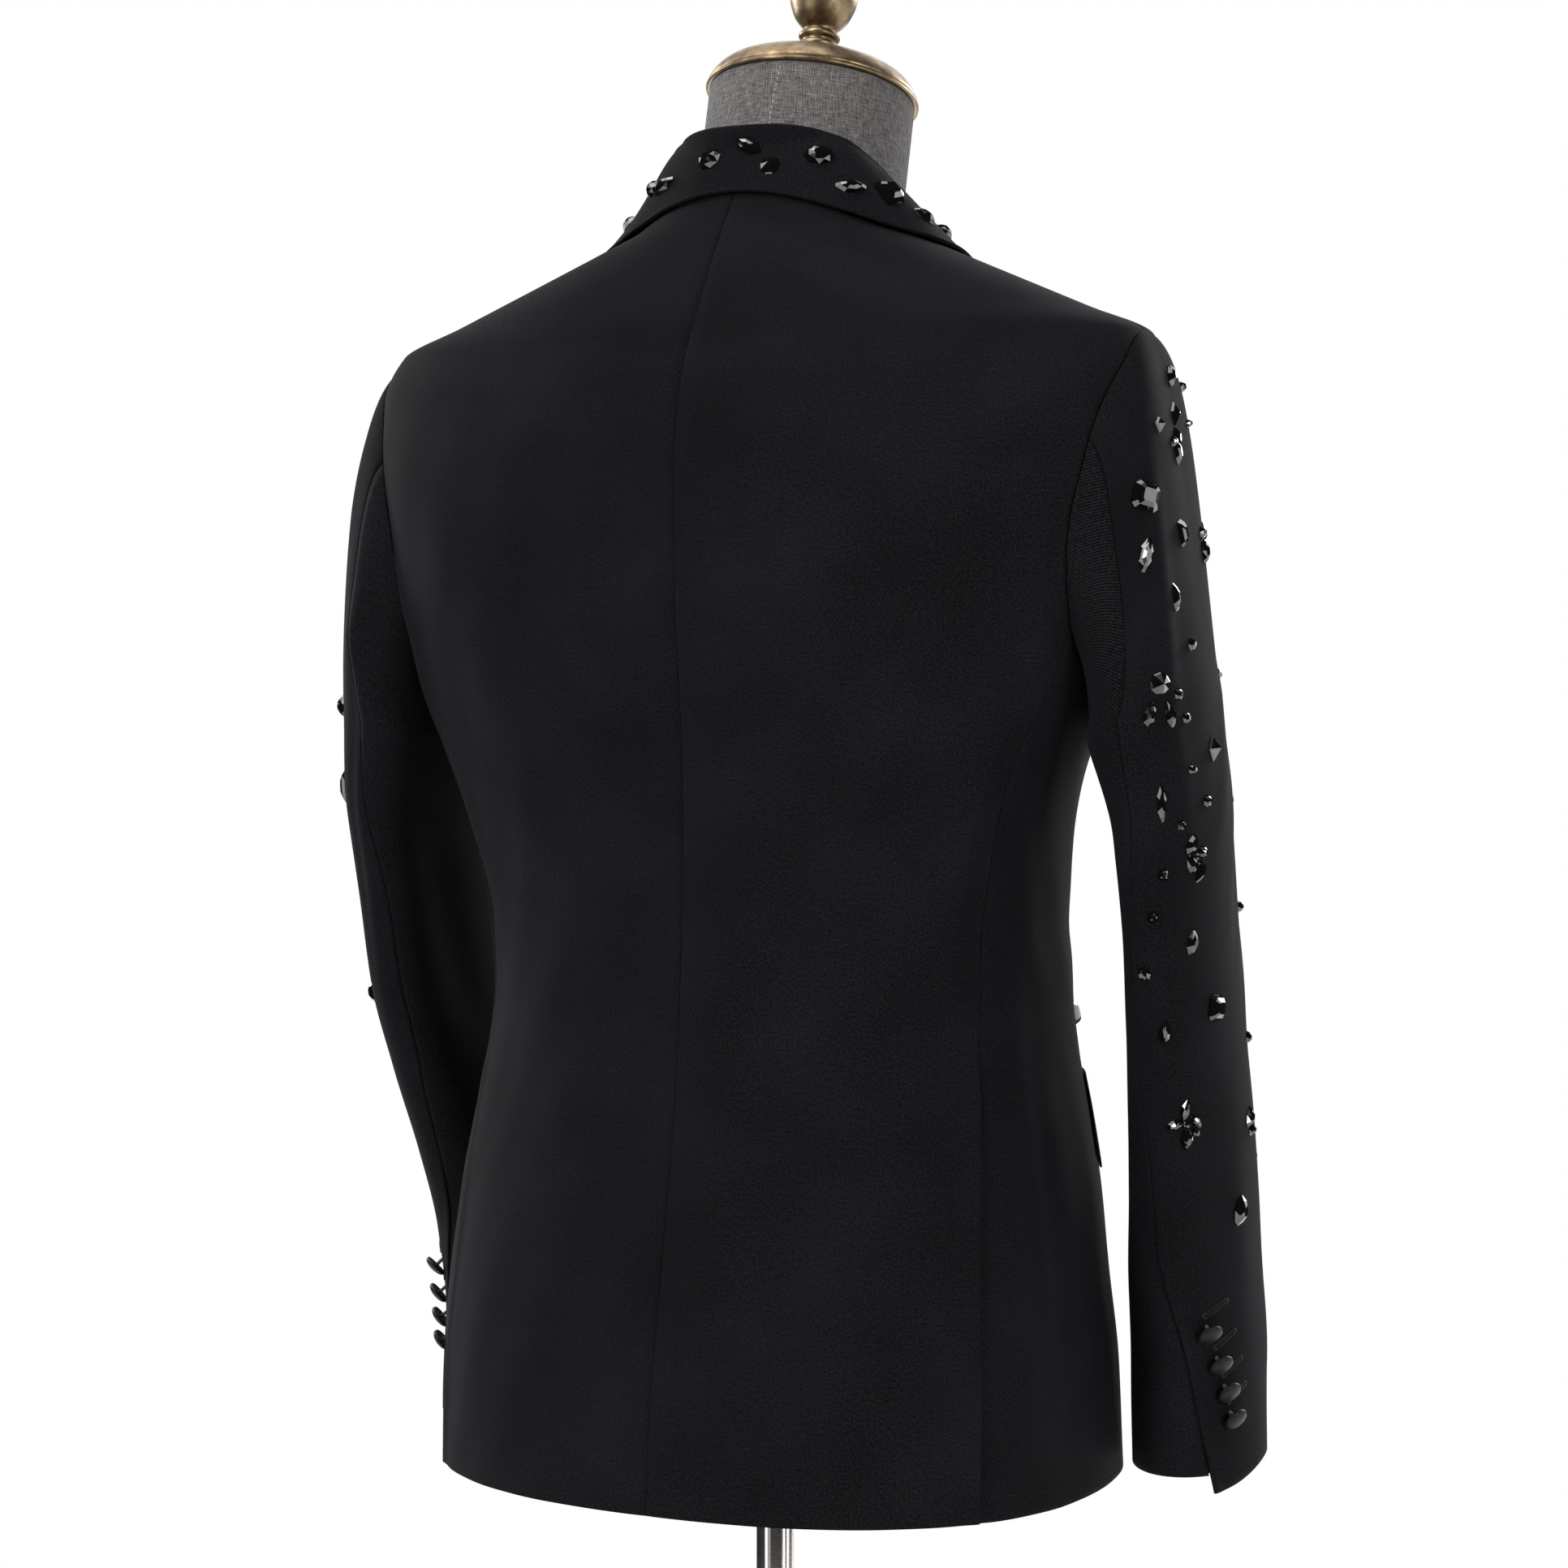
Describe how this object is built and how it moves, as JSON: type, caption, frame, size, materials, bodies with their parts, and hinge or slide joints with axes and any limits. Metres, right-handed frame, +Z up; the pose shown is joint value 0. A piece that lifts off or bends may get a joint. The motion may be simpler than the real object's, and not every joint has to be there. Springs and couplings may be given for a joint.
{
  "type": "double-breasted suit jacket on a limbless dress form",
  "caption": "Black double-breasted suit jacket with peak lapels and faceted stones sewn on collar and sleeves, worn by a limbless dress form on a pole and a round base.",
  "frame": {"origin": "middle of the underside of the round base", "axes": "+Z up, the front of the jacket faces -Y, the wearer's left is +X"},
  "size_m": [0.5344, 0.3357, 1.5713],
  "materials": {
    "cloth": "matt black wool blend, with glossy black faceted stones sewn on",
    "satin": "black satin over domed buttons",
    "linen": "mottled grey linen over the form",
    "brass": "antique, darkened in the hollows",
    "chrome": "polished"
  },
  "bodies": {
    "root": {"back_left": "cloth", "back_right": "cloth", "side_left": "cloth", "side_right": "cloth", "front_left": "cloth", "front_right": "cloth", "lapel_left": "cloth", "lapel_right": "cloth", "pocket_flap_left": "cloth", "pocket_flap_right": "cloth", "collar_leaf": "cloth", "collar_stand": "cloth", "sleeve_upper_left": "cloth", "sleeve_upper_right": "cloth", "sleeve_under_left": "cloth", "sleeve_under_right": "cloth", "cuff_button_left_1": "satin", "cuff_button_left_2": "satin", "cuff_button_left_3": "satin", "cuff_button_left_4": "satin", "cuff_button_right_1": "satin", "cuff_button_right_2": "satin", "cuff_button_right_3": "satin", "cuff_button_right_4": "satin", "button_low_left": "satin", "button_low_right": "satin", "button_waist_left": "satin", "button_waist_right": "satin", "button_high_left": "satin", "button_high_right": "satin", "form_torso": "linen", "neck_cap": "brass", "finial": "brass", "base": "chrome", "pole_socket": "chrome", "pole": "chrome"}
  },
  "joints": []
}
